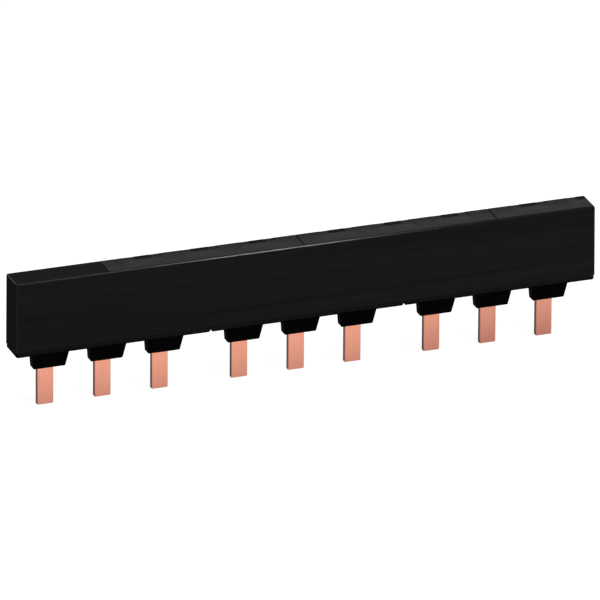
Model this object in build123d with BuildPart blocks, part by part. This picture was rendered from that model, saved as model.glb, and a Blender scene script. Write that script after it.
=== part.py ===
import math
import os
from build123d import *

# Module grid: three devices of standard width, three phases in each
module_pitch = 45.0
module_count = 3
phase_pitch = 13.25
tag_shift = -0.8

# Copper combs
copper_thickness = 1.2
comb_height = 10.9
comb_end_gap = 0.6
comb_corner_radius = 1.0
comb_headroom = 0.2
tag_width = 3.75
tag_reach = 13.9
tag_tip_chamfer = 0.15
tag_edge_break = 0.12
tag_root_radius = 0.7
bend_inner_radius = 0.4
jog_lift = 0.3
root_land = 0.1

# Insulation between the combs
separator_thickness = 0.8
separator_overlap = 0.8
separator_corner_radius = 0.4
slide_clearance = 0.05

# Housing
side_wall = 0.85
end_wall = 1.2
roof_thickness = 1.6
wall_draft = 0.36
edge_radius = 0.45
corner_radius = 0.5
guide_depth = 0.5
lip_width = 0.5
lug_width = 3.75
lug_depth = 1.6
lug_shift = -0.45
groove_height = 0.6
groove_depth = 0.2

# Closing strips on top
strip_shift = -0.6
seam_gap = 0.1
seam_chamfer = 0.1
tongue_margin = 1.0
scoop_width = 7.6
scoop_reach = 4.8
scoop_flare = 6.0
scoop_depth = 0.15

# Base strips and their collars
flange_height = 1.2
flange_inset = 0.05
flange_end_inset = 0.12
flange_corner_radius = 0.6
flange_radius = 0.42
plug_height = 0.9
notch_height = 0.65
notch_run = 0.4
rib_thickness = 1.0
rib_margin = 1.2
snap_radius = 0.2
snap_length = 5.0
collar_height = 5.1
collar_depth = 2.5
collar_left = 1.05
collar_right = 2.6
collar_left_draft = 4.5
collar_right_draft = 15.5
collar_edge_radius = 0.25
collar_rim_chamfer = 0.15
slot_clearance = 0.1

# Depth of the bar: three copper layers, two separators and two walls
layer_pitch = copper_thickness + separator_thickness + 2 * slide_clearance
chamber_depth = 2 * layer_pitch + copper_thickness + 2 * slide_clearance
body_depth = chamber_depth + 2 * side_wall
plug_depth = chamber_depth - 2 * slide_clearance
layer_centres = [-layer_pitch, 0.0, layer_pitch]
gap_centres = [-layer_pitch / 2, layer_pitch / 2]
tag_plane = layer_pitch

# Levels, from the tips of the tags at zero upwards
collar_bottom = tag_reach - collar_height
housing_bottom = tag_reach + flange_height
plug_top = housing_bottom + plug_height
jog_bottom = plug_top + jog_lift
jog_top = jog_bottom + copper_thickness
bend_start = jog_top + bend_inner_radius
comb_bottom = bend_start + tag_root_radius + root_land
comb_top = comb_bottom + comb_height
separator_bottom = comb_bottom - separator_overlap
roof_bottom = comb_top + comb_headroom
body_top = roof_bottom + roof_thickness
groove_level = (roof_bottom + body_top) / 2
snap_level = (housing_bottom + plug_top) / 2

# Places along the bar
body_length = module_count * module_pitch
chamber_length = body_length - 2 * end_wall
comb_length = chamber_length - 2 * comb_end_gap
module_centres = [(i - (module_count - 1) / 2) * module_pitch for i in range(module_count)]
phase_offsets = [-phase_pitch, 0.0, phase_pitch]
barrier_offsets = [tag_shift - phase_pitch / 2, tag_shift + phase_pitch / 2]
strip_left = strip_shift - module_pitch * module_count / 2 + module_pitch / 2

# Places across the bar, at the level of its top face
half_top = body_depth / 2 - math.tan(math.radians(wall_draft)) * (body_top - housing_bottom)
strip_front = lip_width - half_top
lug_front = half_top - lug_depth
beyond = body_depth
lug_grid = [c + module_pitch / 2 + p for c in module_centres for p in phase_offsets]
lug_places = [x + lug_shift for x in lug_grid]
lug_places = [x for x in lug_places if x - lug_width / 2 < body_length / 2]


def tag_places(phase):
    """Centres of one phase's tags along the bar, one in each module."""
    return [centre + tag_shift + phase_offsets[phase] for centre in module_centres]


# Outer form of the body: a block with drafted walls and rounded edges
with BuildPart() as envelope:
    with BuildSketch(Plane.XY.offset(housing_bottom)):
        Rectangle(body_length, body_depth)
    extrude(amount=body_top - housing_bottom, taper=wall_draft)
    top_face = envelope.faces().sort_by(Axis.Z)[-1]
    bottom_face = envelope.faces().sort_by(Axis.Z)[0]
    fillet(envelope.edges() - top_face.edges() - bottom_face.edges(), corner_radius)
    fillet(envelope.faces().sort_by(Axis.Z)[-1].edges(), edge_radius)

# Lugs on the rear wall that key into the closing strips
with BuildPart() as lugs:
    add(envelope.part)
    with BuildSketch(Plane.XY.offset(roof_bottom)):
        with Locations(*[(x, lug_front) for x in lug_places]):
            Rectangle(lug_width, beyond, align=(Align.CENTER, Align.MIN))
    extrude(amount=2 * roof_thickness, mode=Mode.INTERSECT)

# Shallow scoops round the lugs, deepest at the rear edge, run out towards the front
with BuildPart() as scoops:
    scoop_front = half_top - scoop_reach
    with BuildSketch(Plane.XY.offset(body_top - roof_thickness)):
        for x in lug_places:
            front_half = scoop_width / 2 + scoop_reach * math.tan(math.radians(scoop_flare))
            rear_half = scoop_width / 2 - beyond * math.tan(math.radians(scoop_flare))
            with BuildLine():
                Polyline(
                    (x - front_half, scoop_front),
                    (x + front_half, scoop_front),
                    (x + rear_half, half_top + beyond),
                    (x - rear_half, half_top + beyond),
                    close=True,
                )
            make_face()
    extrude(amount=2 * roof_thickness)
    with BuildSketch(Plane.YZ.offset(-body_length)):
        with BuildLine():
            Polyline(
                (scoop_front, body_top),
                (half_top + beyond, body_top - scoop_depth * (scoop_reach + beyond) / scoop_reach),
                (half_top + beyond, body_top + roof_thickness),
                (scoop_front, body_top + roof_thickness),
                close=True,
            )
        make_face()
    extrude(amount=2 * body_length, mode=Mode.INTERSECT)

# Housing: one moulding, open below, and on top from the middle of the first module on
with BuildPart() as housing:
    add(envelope.part)
    with BuildSketch(Plane.XY.offset(housing_bottom)):
        Rectangle(chamber_length, chamber_depth)
        with Locations(*[(0, y) for y in gap_centres]):
            guide_length = chamber_length + 2 * guide_depth
            Rectangle(guide_length, separator_thickness + 2 * slide_clearance)
    extrude(amount=roof_bottom - housing_bottom, mode=Mode.SUBTRACT)
    with BuildSketch(Plane.XY.offset(roof_bottom)):
        with Locations((strip_left, strip_front)):
            Rectangle(body_length * 2, beyond * 2, align=(Align.MIN, Align.MIN))
    extrude(amount=2 * roof_thickness, mode=Mode.SUBTRACT)
    add(lugs.part)
    # Groove in the front lip that takes the tongues of the closing strips
    with BuildSketch(Plane.YZ.offset(strip_left)):
        with Locations((strip_front, groove_level)):
            Rectangle(groove_depth, groove_height, align=(Align.MAX, Align.CENTER))
    extrude(amount=chamber_length / 2 - strip_left, mode=Mode.SUBTRACT)
    # Snap grooves along the foot of both walls
    with BuildSketch(Plane.YZ.offset(-chamber_length / 2)):
        with Locations((-chamber_depth / 2, snap_level), (chamber_depth / 2, snap_level)):
            Circle(snap_radius + slide_clearance)
    extrude(amount=chamber_length, mode=Mode.SUBTRACT)


def closing_strip(index):
    """One strip that closes the top: outer faces of the body, notched for the lugs."""
    left = strip_left + index * module_pitch + seam_gap / 2
    right = min(left + module_pitch - seam_gap, body_length)
    if index == module_count - 1:
        right = body_length
    front = strip_front + slide_clearance
    notch_width = lug_width + 2 * slide_clearance
    with BuildPart() as piece:
        add(envelope.part)
        with BuildSketch(Plane.XY.offset(roof_bottom)):
            with Locations((left, front)):
                Rectangle(right - left, beyond * 2, align=(Align.MIN, Align.MIN))
            with Locations(*[(x, lug_front - slide_clearance) for x in lug_places]):
                align = (Align.CENTER, Align.MIN)
                Rectangle(notch_width, beyond * 2, align=align, mode=Mode.SUBTRACT)
        extrude(amount=2 * roof_thickness, mode=Mode.INTERSECT)
        add(scoops.part, mode=Mode.SUBTRACT)
        # Tongue along the front edge
        tongue_left = left + tongue_margin
        tongue_right = min(right, chamber_length / 2) - tongue_margin
        with BuildSketch(Plane.YZ.offset(tongue_left)):
            with Locations((front, groove_level)):
                tongue_depth = groove_depth
                tongue_height = groove_height - 2 * slide_clearance
                Rectangle(tongue_depth, tongue_height, align=(Align.MAX, Align.CENTER))
        extrude(amount=tongue_right - tongue_left)
        # Broken edges at the seams
        ends = [left] if index == module_count - 1 else [left, right]
        top_edges = piece.edges().filter_by(Axis.Y).group_by(Axis.Z)[-1]
        chamfer([e for e in top_edges if min(abs(e.center().X - x) for x in ends) < 0.01], seam_chamfer)
    return piece


def comb(phase):
    """One phase's copper comb: a strip on edge with a tag in each module."""
    layer = layer_centres[phase]
    front = layer - copper_thickness / 2
    back = layer + copper_thickness / 2
    tag_front = tag_plane - copper_thickness / 2
    tag_back = tag_plane + copper_thickness / 2
    straight = layer == tag_plane
    stub_bottom = 0.0 if straight else bend_start
    with BuildPart() as piece:
        with BuildSketch(Plane.XZ.offset(-back)):
            with Locations((0, comb_bottom)):
                Rectangle(comb_length, comb_height, align=(Align.CENTER, Align.MIN))
            with Locations(*[(x, stub_bottom) for x in tag_places(phase)]):
                stub_height = comb_bottom - stub_bottom
                Rectangle(tag_width, stub_height, align=(Align.CENTER, Align.MIN))
        extrude(amount=copper_thickness)
        rows = piece.edges().filter_by(Axis.Y).group_by(Axis.Z)
        fillet(rows[1].sort_by(Axis.X)[1:-1], tag_root_radius)
        corners = piece.edges().filter_by(Axis.Y).sort_by(Axis.X)
        fillet(corners[:2] + corners[-2:], comb_corner_radius)
        if not straight:
            for x in tag_places(phase):
                with BuildSketch(Plane.YZ.offset(x - tag_width / 2)) as jog:
                    with BuildLine():
                        Polyline(
                            (front, comb_bottom),
                            (back, comb_bottom),
                            (back, jog_top),
                            (tag_back, jog_top),
                            (tag_back, 0),
                            (tag_front, 0),
                            (tag_front, jog_bottom),
                            (front, jog_bottom),
                            close=True,
                        )
                    make_face()
                    inner = [(back, jog_top), (tag_front, jog_bottom)]
                    outer = [(tag_back, jog_top), (front, jog_bottom)]
                    for places, radius in (
                        (inner, bend_inner_radius),
                        (outer, bend_inner_radius + copper_thickness),
                    ):
                        for place in places:
                            fillet(jog.vertices().sort_by_distance(place)[0], radius)
                extrude(amount=tag_width)
        # Broken edges where the tags stand free, and round their tips
        with BuildSketch():
            for x in tag_places(phase):
                corners = [(x + i * tag_width / 2, y) for i in (-1, 1) for y in (tag_front, tag_back)]
                with Locations(*corners):
                    Rectangle(tag_edge_break * math.sqrt(2), tag_edge_break * math.sqrt(2), rotation=45)
        extrude(amount=collar_bottom + collar_rim_chamfer, mode=Mode.SUBTRACT)
        tips = piece.faces().filter_by(Axis.Z).group_by(Axis.Z)[0]
        chamfer(tips.edges(), tag_tip_chamfer)
    return piece


def separator(gap):
    """One insulating sheet between two layers of copper, held in the end walls."""
    length = chamber_length + 2 * guide_depth - 2 * slide_clearance
    height = roof_bottom - slide_clearance - separator_bottom
    with BuildPart() as piece:
        with BuildSketch(Plane.XZ.offset(-gap_centres[gap] - separator_thickness / 2)) as sheet:
            with Locations((0, separator_bottom)):
                Rectangle(length, height, align=(Align.CENTER, Align.MIN))
            fillet(sheet.vertices(), separator_corner_radius)
        extrude(amount=separator_thickness)
    return piece


def collar_row(tags):
    """The collars of one base strip, their roots sunk half way into its flange."""
    root = tag_reach + flange_height / 2
    lean_left = (root - collar_bottom) * math.tan(math.radians(collar_left_draft))
    lean_right = (root - collar_bottom) * math.tan(math.radians(collar_right_draft))
    with BuildPart() as row:
        with BuildSketch(Plane.XZ.offset(-tag_plane - collar_depth / 2)):
            for x in tags:
                left = x - tag_width / 2 - collar_left
                right = x + tag_width / 2 + collar_right
                with BuildLine():
                    Polyline(
                        (left, collar_bottom),
                        (right, collar_bottom),
                        (right + lean_right, root),
                        (left - lean_left, root),
                        close=True,
                    )
                make_face()
        extrude(amount=collar_depth)
        ends = row.faces().filter_by(Axis.Z).edges()
        fillet(row.edges() - ends - row.edges().filter_by(Axis.X), collar_edge_radius)
        feet = row.faces().filter_by(Axis.Z).group_by(Axis.Z)[0]
        chamfer(feet.edges(), collar_rim_chamfer)
    return row


def base_strip(index):
    """One module's base: flange, plug, barrier ribs, and a collar round each tag."""
    centre = module_centres[index]
    first = index == 0
    last = index == module_count - 1
    left = centre - module_pitch / 2 + (flange_end_inset if first else seam_gap / 2)
    right = centre + module_pitch / 2 - (flange_end_inset if last else seam_gap / 2)
    plug_left = -chamber_length / 2 + slide_clearance if first else left
    plug_right = chamber_length / 2 - slide_clearance if last else right
    tags = [centre + tag_shift + offset for offset in phase_offsets]
    flange_depth = body_depth - 2 * flange_inset
    collars = collar_row(tags)
    with BuildPart() as piece:
        # Flange under the walls of the housing, notched where two base strips meet
        with BuildSketch(Plane.XZ.offset(-flange_depth / 2)):
            with BuildLine():
                low_left = [(left, tag_reach + notch_height), (left + notch_run, tag_reach)]
                low_right = [(right - notch_run, tag_reach), (right, tag_reach + notch_height)]
                Polyline(
                    (right, housing_bottom),
                    (left, housing_bottom),
                    *([(left, tag_reach)] if first else low_left),
                    *([(right, tag_reach)] if last else low_right),
                    close=True,
                )
            make_face()
        extrude(amount=flange_depth)
        uprights = piece.edges().filter_by(Axis.Z).group_by(Axis.X)
        outer = (uprights[0] if first else []) + (uprights[-1] if last else [])
        if outer:
            fillet(outer, flange_corner_radius)
        rim = piece.faces().sort_by(Axis.Z)[0].edges()
        across = rim.filter_by(Axis.Y).sort_by(Axis.X)
        inner_ends = ([] if first else across[:1]) + ([] if last else across[-1:])
        fillet([e for e in rim if e not in inner_ends], flange_radius)
        add(collars.part)
        # Plug that fills the mouth of the housing
        with BuildSketch(Plane.XY.offset(housing_bottom)):
            with Locations((plug_left, 0)):
                Rectangle(plug_right - plug_left, plug_depth, align=(Align.MIN, Align.CENTER))
        extrude(amount=plug_height)
        # Barrier ribs that carry the combs and hold the separators
        barriers = [centre + offset for offset in barrier_offsets]
        rib_inset = rib_margin + rib_thickness / 2
        ribs = [plug_left + rib_inset, *barriers, plug_right - rib_inset]
        with BuildSketch(Plane.XY.offset(plug_top)):
            with Locations(*[(x, 0) for x in ribs]):
                Rectangle(rib_thickness, plug_depth)
        extrude(amount=comb_bottom - plug_top)
        with BuildSketch(Plane.XY.offset(separator_bottom)):
            with Locations(*[(centre, y) for y in gap_centres]):
                Rectangle(module_pitch, separator_thickness + 2 * slide_clearance)
        extrude(amount=comb_height, mode=Mode.SUBTRACT)
        # Snap ridges on both sides of the plug
        for x in barriers:
            with BuildSketch(Plane.YZ.offset(x - snap_length / 2)):
                with Locations((-plug_depth / 2, snap_level), (plug_depth / 2, snap_level)):
                    Circle(snap_radius)
            extrude(amount=snap_length)
        # Slots for the tags
        with BuildSketch(Plane.XY.offset(collar_bottom - 1)):
            with Locations(*[(x, tag_plane) for x in tags]):
                Rectangle(tag_width + 2 * slot_clearance, copper_thickness + 2 * slot_clearance)
        extrude(amount=plug_top - collar_bottom + 2, mode=Mode.SUBTRACT)
    return piece


# Write each piece to its own file
os.makedirs("parts", exist_ok=True)
housing.part.label = "housing"
export_step(housing.part, "parts/housing.step")
for i in range(module_count):
    piece = closing_strip(i)
    piece.part.label = f"top_strip_{i + 1}"
    export_step(piece.part, f"parts/top_strip_{i + 1}.step")
    piece = base_strip(i)
    piece.part.label = f"base_strip_{i + 1}"
    export_step(piece.part, f"parts/base_strip_{i + 1}.step")
for phase, name in enumerate(["comb_front", "comb_middle", "comb_rear"]):
    piece = comb(phase)
    piece.part.label = name
    export_step(piece.part, f"parts/{name}.step")
for gap, name in enumerate(["separator_front", "separator_rear"]):
    piece = separator(gap)
    piece.part.label = name
    export_step(piece.part, f"parts/{name}.step")
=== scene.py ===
import math

import bpy
import numpy as np
from mathutils import Matrix, Vector


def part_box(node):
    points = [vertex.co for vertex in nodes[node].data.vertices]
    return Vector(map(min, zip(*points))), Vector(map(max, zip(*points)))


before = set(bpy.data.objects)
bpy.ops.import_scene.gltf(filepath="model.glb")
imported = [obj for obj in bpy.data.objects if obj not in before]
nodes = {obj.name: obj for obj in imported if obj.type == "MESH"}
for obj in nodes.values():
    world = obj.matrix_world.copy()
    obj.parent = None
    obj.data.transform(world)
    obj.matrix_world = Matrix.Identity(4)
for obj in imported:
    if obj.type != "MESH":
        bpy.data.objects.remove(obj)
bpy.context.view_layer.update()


# Housing
# The long body is one injection moulding of black glass-filled polyamide, open below and
# partly open on top. Its tool was spark-eroded, which leaves an even satin grain, and the
# melt ran along it from one end, which leaves very faint lengthwise streaks.

mm = 0.001
# The colour sockets of a Mix node, by number because its other sockets share their names
colour_a, colour_b, colour_out = 6, 7, 2


def linear(colour):
    """sRGB hex to linear: ((c + 0.055) / 1.055) ** 2.4, or c / 12.92 where c is small."""
    parts = [int(colour[i : i + 2], 16) / 255 for i in (1, 3, 5)]
    return [c / 12.92 if c <= 0.04045 else ((c + 0.055) / 1.055) ** 2.4 for c in parts] + [1.0]


def set_inputs(tree, node, inputs):
    """Links each input to a socket or to a node's first output, or sets it to a value."""
    for name, value in inputs.items():
        if isinstance(value, bpy.types.Node):
            value = value.outputs[0]
        if isinstance(value, bpy.types.NodeSocket):
            tree.links.new(value, node.inputs[name])
        else:
            node.inputs[name].default_value = value


def add_node(tree, kind, inputs=None, stops=(), **settings):
    """Adds a node with its inputs, its settings, and the stops of a colour ramp."""
    node = tree.nodes.new(kind)
    for name, value in settings.items():
        setattr(node, name, value)
    for i, (position, colour) in enumerate(stops):
        node.color_ramp.elements[i].position = position
        node.color_ramp.elements[i].color = linear(colour)
    set_inputs(tree, node, inputs or {})
    return node


def new_material(name):
    """A new material, its node tree and its shader."""
    material = bpy.data.materials.new(name)
    material.use_nodes = True
    tree = material.node_tree
    return material, tree, tree.nodes["Principled BSDF"]


def dress(name, material):
    """Puts the material into every slot of a piece that comes from the frame."""
    mesh = nodes[name].data
    for i in range(len(mesh.materials)):
        mesh.materials[i] = material


def moulded_black(tree, shader, place):
    """Black glass-filled polyamide: streaks along the flow, a satin eroded grain, and
    patches of slightly different gloss where the tool wore. It gives the colour, for each
    piece to change where its own faces differ."""
    # Flow streaks, 1.8 mm across and drawn out to 110 mm along the bar
    streak_width, streak_length = 1.8 * mm, 110 * mm
    stretch = (1 / streak_length, 1 / streak_width, 1 / streak_width)
    flow = add_node(tree, "ShaderNodeMapping", {"Vector": place, "Scale": stretch})
    streak_look = {"Scale": 1.0, "Detail": 3.0, "Roughness": 0.6}
    streak = add_node(tree, "ShaderNodeTexNoise", {"Vector": flow, **streak_look})
    # Eroded grain, 0.12 mm in the tool, drawn at 0.25 mm because the render shows nothing finer
    grain_width, grain_share = 0.25 * mm, 0.35
    grain_look = {"Scale": 1 / grain_width, "Detail": 2.0, "Roughness": 0.6}
    grain = add_node(tree, "ShaderNodeTexNoise", {"Vector": place, **grain_look})
    parts = {0: grain, 1: grain_share, 2: streak}
    mottle = add_node(tree, "ShaderNodeMath", parts, operation="MULTIPLY_ADD")
    stops = ((0.45, "#101010"), (0.9, "#1a1a1a"))
    colour = add_node(tree, "ShaderNodeValToRGB", {"Fac": mottle}, stops)
    # Wear of the tool, in patches 14 mm wide, shifts the satin roughness a little
    patch_width, satin, wear = 14 * mm, 0.5, 0.04
    patch_look = {"Scale": 1 / patch_width, "Detail": 2.0}
    patch = add_node(tree, "ShaderNodeTexNoise", {"Vector": place, **patch_look})
    limits = {"To Min": satin - wear, "To Max": satin + wear}
    rough = add_node(tree, "ShaderNodeMapRange", {"Value": patch, **limits})
    depth = {"Distance": 0.012 * mm, "Strength": 0.35}
    relief = add_node(tree, "ShaderNodeBump", {"Height": grain, **depth})
    set_inputs(tree, shader, {"Roughness": rough, "Normal": relief})
    # The eroded skin has no shine of its own, and a thin coat gives the little that shows
    set_inputs(tree, shader, {"Specular IOR Level": 0.0, "Coat Roughness": 0.08})
    return colour


housing_plastic, tree, shader = new_material("black_polyamide_eroded")
place = add_node(tree, "ShaderNodeTexCoord").outputs["Object"]
colour = moulded_black(tree, shader, place)
normal = add_node(tree, "ShaderNodeNewGeometry").outputs["Normal"]
facing = add_node(tree, "ShaderNodeSeparateXYZ", {"Vector": normal}).outputs
# The end walls, which face along the bar, come from coarser inserts and shine less
wall_shine, end_shine = 0.06, 0.018
sideways = add_node(tree, "ShaderNodeMath", {0: facing["X"]}, operation="ABSOLUTE")
limits = {"From Min": 0.9, "From Max": 0.99, "To Min": wall_shine, "To Max": end_shine}
shine = add_node(tree, "ShaderNodeMapRange", {"Value": sideways, **limits})
# The upright corners, which face between X and Y, are painted lighter as a highlight
parts = {0: facing["X"], 1: facing["Y"]}
slant = add_node(tree, "ShaderNodeMath", parts, operation="MULTIPLY")
slant = add_node(tree, "ShaderNodeMath", {0: slant}, operation="ABSOLUTE")
painted_corner_highlight = add_node(tree, "ShaderNodeMapRange", {"Value": slant, "From Min": 0.1, "From Max": 0.45})
blend = {"Factor": painted_corner_highlight, colour_a: colour, colour_b: linear("#282828")}
tone = add_node(tree, "ShaderNodeMix", blend, data_type="RGBA").outputs[colour_out]
set_inputs(tree, shader, {"Base Color": tone, "Coat Weight": shine})
dress("housing", housing_plastic)


# Copper combs
# Three combs punched out of 1.2 mm electrolytic copper strip, one for each phase, with
# the tags of two of them jogged into the plane of the third. The faces keep the fine
# drawn lines of the strip; the sheared edges are rougher, and painted darker as shade.

copper, tree, shader = new_material("drawn_copper")
place = add_node(tree, "ShaderNodeTexCoord").outputs["Object"]
# Drawn lines, 0.05 mm apart in the strip, drawn at 0.2 mm because the render shows nothing finer
line_width, line_length = 0.2 * mm, 17 * mm
stretch = (1 / line_width, 1 / line_width, 1 / line_length)
drawing = add_node(tree, "ShaderNodeMapping", {"Vector": place, "Scale": stretch})
line_look = {"Scale": 1.0, "Detail": 3.0, "Roughness": 0.65}
lines = add_node(tree, "ShaderNodeTexNoise", {"Vector": drawing, **line_look})
# Faint tarnish in patches 4 mm wide
patch_width, patch_share = 4 * mm, 0.4
patch_look = {"Scale": 1 / patch_width, "Detail": 3.0}
patch = add_node(tree, "ShaderNodeTexNoise", {"Vector": place, **patch_look})
parts = {0: patch, 1: patch_share, 2: lines}
mottle = add_node(tree, "ShaderNodeMath", parts, operation="MULTIPLY_ADD")
stops = ((0.45, "#e59980"), (0.95, "#eda48b"))
face = add_node(tree, "ShaderNodeValToRGB", {"Fac": mottle}, stops)
# Painted shade darkens the tags towards their tips, and those on the right a little more
spot = add_node(tree, "ShaderNodeSeparateXYZ", {"Vector": place}).outputs
smooth = {"interpolation_type": "SMOOTHSTEP"}
limits = {"From Min": 10 * mm, "From Max": -2 * mm, "To Max": 0.95}
low = add_node(tree, "ShaderNodeMapRange", {"Value": spot["Z"], **limits}, **smooth)
limits = {"From Min": 6 * mm, "From Max": 48 * mm, "To Max": 0.6}
right = add_node(tree, "ShaderNodeMapRange", {"Value": spot["X"], **limits}, **smooth)
painted_shade = add_node(tree, "ShaderNodeMath", {0: low, 1: right}, operation="ADD")
shade_tint = (0.70, 0.69, 0.72, 1.0)
blend = {"Factor": painted_shade, colour_a: face, colour_b: shade_tint}
manner = {"data_type": "RGBA", "blend_type": "MULTIPLY", "clamp_factor": False}
shaded_face = add_node(tree, "ShaderNodeMix", blend, **manner).outputs[colour_out]
# The sheared edges face along the bar; they are rougher, and painted darker as shade
normal = add_node(tree, "ShaderNodeNewGeometry").outputs["Normal"]
facing = add_node(tree, "ShaderNodeSeparateXYZ", {"Vector": normal}).outputs
sideways = add_node(tree, "ShaderNodeMath", {0: facing["X"]}, operation="ABSOLUTE")
sheared_and_shaded = add_node(tree, "ShaderNodeMapRange", {"Value": sideways, "From Min": 0.5, "From Max": 0.9})
blend = {"Factor": sheared_and_shaded, colour_a: shaded_face, colour_b: linear("#33231c")}
tone = add_node(tree, "ShaderNodeMix", blend, data_type="RGBA").outputs[colour_out]
face_rough, edge_rough = 0.36, 0.55
limits = {"To Min": face_rough, "To Max": edge_rough}
rough = add_node(tree, "ShaderNodeMapRange", {"Value": sheared_and_shaded, **limits})
depth = {"Distance": 0.006 * mm, "Strength": 0.3}
relief = add_node(tree, "ShaderNodeBump", {"Height": lines, **depth})
set_inputs(tree, shader, {"Base Color": tone, "Roughness": rough, "Normal": relief})
set_inputs(tree, shader, {"Metallic": 1.0})
for name in ("comb_front", "comb_middle", "comb_rear"):
    dress(name, copper)


# Separators
# Two sheets of extruded charcoal polycarbonate slide into the end walls and keep the three
# layers of copper apart. Extruded sheet is smooth and rather glossy, with faint lines that
# the die leaves along its length.

separator_plastic, tree, shader = new_material("charcoal_extruded_sheet")
place = add_node(tree, "ShaderNodeTexCoord").outputs["Object"]
line_width, line_length = 1.4 * mm, 170 * mm
stretch = (1 / line_length, 1 / line_width, 1 / line_width)
drawing = add_node(tree, "ShaderNodeMapping", {"Vector": place, "Scale": stretch})
lines = add_node(tree, "ShaderNodeTexNoise", {"Vector": drawing, "Scale": 1.0, "Detail": 4.0})
stops = ((0.0, "#222224"), (1.0, "#2d2d30"))
colour = add_node(tree, "ShaderNodeValToRGB", {"Fac": lines}, stops)
depth = {"Distance": 0.01 * mm, "Strength": 0.2}
relief = add_node(tree, "ShaderNodeBump", {"Height": lines, **depth})
set_inputs(tree, shader, {"Base Color": colour, "Roughness": 0.28, "Normal": relief})
for name in ("separator_front", "separator_rear"):
    dress(name, separator_plastic)


# Base strips
# Three mouldings, one for each device, snap into the mouth of the housing. Each has a
# flange under the walls and a collar round every tag, from the same black polyamide. The
# collars lie in the shade under the body and are painted darker than the flange.

base_plastic, tree, shader = new_material("black_polyamide_base")
place = add_node(tree, "ShaderNodeTexCoord").outputs["Object"]
colour = moulded_black(tree, shader, place)
# The painted shade is full below the flange, and begins 0.7 mm above its lower edge
flange_bottom, fade = 13.9 * mm, 0.7 * mm
height = add_node(tree, "ShaderNodeSeparateXYZ", {"Vector": place}).outputs["Z"]
limits = {"From Min": flange_bottom + fade, "From Max": flange_bottom}
collar_shade = add_node(tree, "ShaderNodeMapRange", {"Value": height, **limits})
blend = {"Factor": collar_shade, colour_a: colour, colour_b: linear("#080808")}
tone = add_node(tree, "ShaderNodeMix", blend, data_type="RGBA").outputs[colour_out]
# Upright faces shine a little; the underside and the rounded foot of the flange are dull
normal = add_node(tree, "ShaderNodeNewGeometry").outputs["Normal"]
upwards = add_node(tree, "ShaderNodeSeparateXYZ", {"Vector": normal}).outputs["Z"]
limits = {"From Min": -0.5, "From Max": -0.1, "To Min": 0.0, "To Max": 0.022}
shine = add_node(tree, "ShaderNodeMapRange", {"Value": upwards, **limits})
set_inputs(tree, shader, {"Base Color": tone, "Coat Weight": shine})
for i in (1, 2, 3):
    dress(f"base_strip_{i}", base_plastic)


# Closing strips
# The top is closed by strips of a slightly greyer polyamide with a coarser grain, notched
# round the lugs of the housing. Each lug has a scooped field round it, which is polished
# and painted lighter as a sheen.

strip_plastic, tree, shader = new_material("charcoal_polyamide_strip")
place = add_node(tree, "ShaderNodeTexCoord").outputs["Object"]
spot = add_node(tree, "ShaderNodeSeparateXYZ", {"Vector": place}).outputs
strip_left, strip_right = (edge.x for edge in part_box("top_strip_2"))
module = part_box("top_strip_3")[0].x - strip_left
# The lugs of a module stand 13.25 mm apart, the middle one 0.15 mm right of the strip's middle
lug_step = 13.25 * mm
middle_lug = (strip_left + strip_right) / 2 + 0.15 * mm
# Distance along the bar to the nearest lug, from the distance to the nearest middle one
inner = add_node(tree, "ShaderNodeMath", {0: spot["X"], 1: middle_lug}, operation="SUBTRACT")
inner = add_node(tree, "ShaderNodeMath", {0: inner, 1: module / 2, 2: -module / 2}, operation="WRAP")
inner = add_node(tree, "ShaderNodeMath", {0: inner}, operation="ABSOLUTE")
outer = add_node(tree, "ShaderNodeMath", {0: inner, 1: lug_step}, operation="SUBTRACT")
outer = add_node(tree, "ShaderNodeMath", {0: outer}, operation="ABSOLUTE")
nearest = add_node(tree, "ShaderNodeMath", {0: inner, 1: outer}, operation="MINIMUM")
# Half the width of a field: 3.8 mm at the rear edge, and wider towards the front by 6 degrees
rear_edge, field_half, flare = 3.5 * mm, 3.8 * mm, math.tan(math.radians(6))
back = add_node(tree, "ShaderNodeMath", {0: rear_edge, 1: spot["Y"]}, operation="SUBTRACT")
parts = {0: back, 1: flare, 2: field_half}
half = add_node(tree, "ShaderNodeMath", parts, operation="MULTIPLY_ADD")
inside = add_node(tree, "ShaderNodeMath", {0: half, 1: nearest}, operation="SUBTRACT")
# The polish and its painted sheen end sharply at the sides of the field, and fade to the front and
# to the rear
limits = {"From Min": -0.1 * mm, "From Max": 0.1 * mm}
sides = add_node(tree, "ShaderNodeMapRange", {"Value": inside, **limits}, **smooth)
limits = {"From Min": -1.7 * mm, "From Max": 0.3 * mm}
front = add_node(tree, "ShaderNodeMapRange", {"Value": spot["Y"], **limits}, **smooth)
limits = {"From Min": 2.2 * mm, "From Max": 0.0}
rear = add_node(tree, "ShaderNodeMapRange", {"Value": spot["Y"], **limits}, **smooth)
field_and_sheen = add_node(tree, "ShaderNodeMath", {0: sides, 1: front}, operation="MULTIPLY")
field_and_sheen = add_node(tree, "ShaderNodeMath", {0: field_and_sheen, 1: rear}, operation="MULTIPLY")
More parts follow.
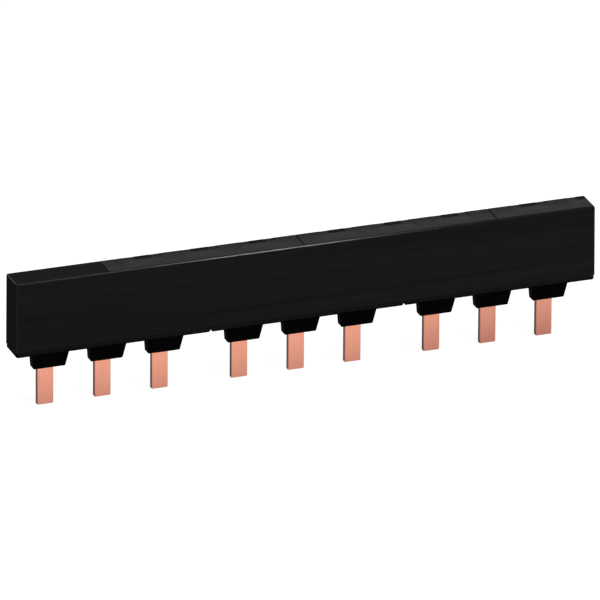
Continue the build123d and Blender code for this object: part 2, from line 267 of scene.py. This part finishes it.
# Grain 0.3 mm wide and clouds of 2.4 mm, both painted lighter towards the front edge as painted
# light
grain_width, cloud_width, grain_share = 0.3 * mm, 2.4 * mm, 0.7
grain_look = {"Scale": 1 / grain_width, "Detail": 2.0, "Roughness": 0.7}
grain = add_node(tree, "ShaderNodeTexNoise", {"Vector": place, **grain_look})
cloud_look = {"Scale": 1 / cloud_width, "Detail": 3.0}
cloud = add_node(tree, "ShaderNodeTexNoise", {"Vector": place, **cloud_look})
parts = {0: grain, 1: grain_share, 2: cloud}
mottle = add_node(tree, "ShaderNodeMath", parts, operation="MULTIPLY_ADD")
limits = {"From Min": 3.2 * mm, "From Max": -3.4 * mm, "To Min": -0.4, "To Max": 0.4}
forward = add_node(tree, "ShaderNodeMapRange", {"Value": spot["Y"], **limits})
mottle = add_node(tree, "ShaderNodeMath", {0: mottle, 1: forward}, operation="ADD")
stops = ((0.4, "#202020"), (1.0, "#2a2a2a"))
plain = add_node(tree, "ShaderNodeValToRGB", {"Fac": mottle}, stops)
# The field is painted lighter, as a painted sheen
blend = {"Factor": field_and_sheen, colour_a: plain, colour_b: linear("#2c2c2e")}
tone = add_node(tree, "ShaderNodeMix", blend, data_type="RGBA").outputs[colour_out]
# Where two strips meet, their ends are dull and painted dark as the shade in the seam; the
# free end of the first, which lies left of all seams, is not painted dark and stays bright
seams_from = -20 * mm
normal = add_node(tree, "ShaderNodeNewGeometry").outputs["Normal"]
facing = add_node(tree, "ShaderNodeSeparateXYZ", {"Vector": normal}).outputs
sideways = add_node(tree, "ShaderNodeMath", {0: facing["X"]}, operation="ABSOLUTE")
end = add_node(tree, "ShaderNodeMath", {0: sideways, 1: 0.5}, operation="GREATER_THAN")
later = add_node(tree, "ShaderNodeMath", {0: spot["X"], 1: seams_from}, operation="GREATER_THAN")
shaded_seam = add_node(tree, "ShaderNodeMath", {0: end, 1: later}, operation="MULTIPLY")
blend = {"Factor": shaded_seam, colour_a: tone, colour_b: linear("#131313")}
tone = add_node(tree, "ShaderNodeMix", blend, data_type="RGBA").outputs[colour_out]
shine = add_node(tree, "ShaderNodeMapRange", {"Value": shaded_seam, "To Min": 0.05, "To Max": 0.0})
rough = add_node(tree, "ShaderNodeMapRange", {"Value": field_and_sheen, "To Min": 0.5, "To Max": 0.38})
depth = {"Distance": 0.016 * mm, "Strength": 0.4}
relief = add_node(tree, "ShaderNodeBump", {"Height": grain, **depth})
set_inputs(tree, shader, {"Base Color": tone, "Roughness": rough, "Normal": relief})
set_inputs(tree, shader, {"Specular IOR Level": 0.0, "Coat Roughness": 0.2, "Coat Weight": shine})
for i in (1, 2, 3):
    dress(f"top_strip_{i}", strip_plastic)


# Floor and backdrop
# A round sheet of white paper turned up at its rim, so that every side view ends on it.
# To the camera and in reflections it is white, less the object's shadow.

flat_radius, rim_radius = 6.0, 0.6
flat_rings, rim_rings, sectors = 7, 6, 96
# The sheet is flat out to the last flat ring. From there its rim rises along a quarter of a
# circle: further out by the rim's radius times the sine of the angle, and up by the radius
# times one less the cosine.
angle = np.linspace(0.2, math.pi / 2, rim_rings)
flat = np.linspace(0.0, flat_radius, flat_rings)
radius = np.concatenate([flat, flat_radius + rim_radius * np.sin(angle)])
height = np.concatenate([np.zeros(flat_rings), rim_radius * (1 - np.cos(angle))])
# The first ring is only the middle point, and each other one is a circle of points
turn = np.linspace(0, 2 * math.pi, sectors, endpoint=False)
x = np.outer(radius[1:], np.cos(turn))
y = np.outer(radius[1:], np.sin(turn))
z = np.repeat(height[1:, None], sectors, 1)
points = np.stack([x, y, z], -1).reshape(-1, 3)
points = np.concatenate([[(0.0, 0.0, 0.0)], points])
ring, sector = np.meshgrid(np.arange(len(radius) - 2), np.arange(sectors), indexing="ij")
here = 1 + ring * sectors + sector
beside = 1 + ring * sectors + (sector + 1) % sectors
quads = np.stack([here, here + sectors, beside + sectors, beside], -1).reshape(-1, 4)
hub = np.stack([np.zeros(sectors, int), here[0], beside[0]], -1)
sheet = bpy.data.meshes.new("paper")
sheet.from_pydata(points.tolist(), [], quads.tolist() + hub.tolist())
floor = bpy.data.objects.new("floor", sheet)
bpy.context.scene.collection.objects.link(floor)
paper, tree, shader = new_material("white_paper")
tree.nodes.remove(shader)
ray = add_node(tree, "ShaderNodeLightPath").outputs
parts = {0: ray["Is Camera Ray"], 1: ray["Is Glossy Ray"]}
seen = add_node(tree, "ShaderNodeMath", parts, operation="MAXIMUM")
parts = {0: seen, 1: ray["Is Transmission Ray"]}
seen = add_node(tree, "ShaderNodeMath", parts, operation="MAXIMUM")
white, grey = (1.0, 1.0, 1.0, 1.0), (0.12, 0.12, 0.12, 1.0)
glow = add_node(tree, "ShaderNodeEmission", {"Color": white, "Strength": 0.93})
matt = add_node(tree, "ShaderNodeBsdfDiffuse", {"Color": grey})
bright = add_node(tree, "ShaderNodeAddShader", {0: glow, 1: matt})
surface = add_node(tree, "ShaderNodeMixShader", {"Fac": seen, 1: matt, 2: bright})
set_inputs(tree, tree.nodes["Material Output"], {"Surface": surface})
floor.data.materials.append(paper)


# Light
# A dim white room, weak soft boxes in front and on the left, and one behind on each side
# for the outlines. Two long lamps, narrow along the bar, hang above its front and draw the
# bright line along the front edge of its top.

world = bpy.data.worlds.new("studio")
bpy.context.scene.world = world
world.use_nodes = True
background = world.node_tree.nodes["Background"]
set_inputs(world.node_tree, background, {"Color": white, "Strength": 0.14})


def soft_box(name, place, aim, size, power):
    """A rectangular area lamp at a place, facing a point, hidden from the camera."""
    light = bpy.data.lights.new(name, "AREA")
    light.shape = "RECTANGLE"
    light.size, light.size_y = size
    light.energy = power
    holder = bpy.data.objects.new(name, light)
    bpy.context.scene.collection.objects.link(holder)
    holder.location = place
    holder.rotation_euler = (Vector(aim) - Vector(place)).to_track_quat("-Z", "Y").to_euler()
    holder.visible_camera = False


middle = (0.0, 0.0, 0.02)
soft_box("front_box", (0.3, -1.3, 1.0), middle, (0.8, 0.8), 1.2)
soft_box("left_box", (-1.15, -1.15, 0.75), middle, (0.6, 0.6), 2.2)
soft_box("rim_box", (-0.65, 1.3, 0.5), middle, (0.5, 0.5), 9)
soft_box("rear_box", (1.25, 0.75, 0.15), middle, (0.5, 0.3), 22)
soft_box("key_strip", (0.379, -0.472, 1.068), (0.379, 0.0, 0.03), (0.042, 0.9), 20.5)
soft_box("side_strip", (0.3, -0.472, 1.068), (0.3, 0.0, 0.03), (0.11, 0.9), 3.2)


# Camera
# A long lens from the left and above, turned a third of a degree about its own axis. Its
# place was worked out from the edges of the bar in the picture.

eye = Vector((-0.917719, -2.506442, 1.150818))
aim = Vector((-0.0004479, 0.0001744, 0.0170233))
roll = math.radians(-0.34)
forward = (aim - eye).normalized()
across = forward.cross(Vector((0, 0, 1))).normalized()
above = across.cross(forward)
camera_x = across * math.cos(roll) - above * math.sin(roll)
camera_y = across * math.sin(roll) + above * math.cos(roll)
pose = Matrix((camera_x, camera_y, -forward)).transposed().to_4x4()
pose.translation = eye
lens = bpy.data.cameras.new("camera")
lens.lens = 793.646
lens.sensor_width = 36
camera = bpy.data.objects.new("camera", lens)
camera.matrix_world = pose
bpy.context.scene.collection.objects.link(camera)
bpy.context.scene.camera = camera
bpy.context.scene.view_settings.view_transform = "Standard"
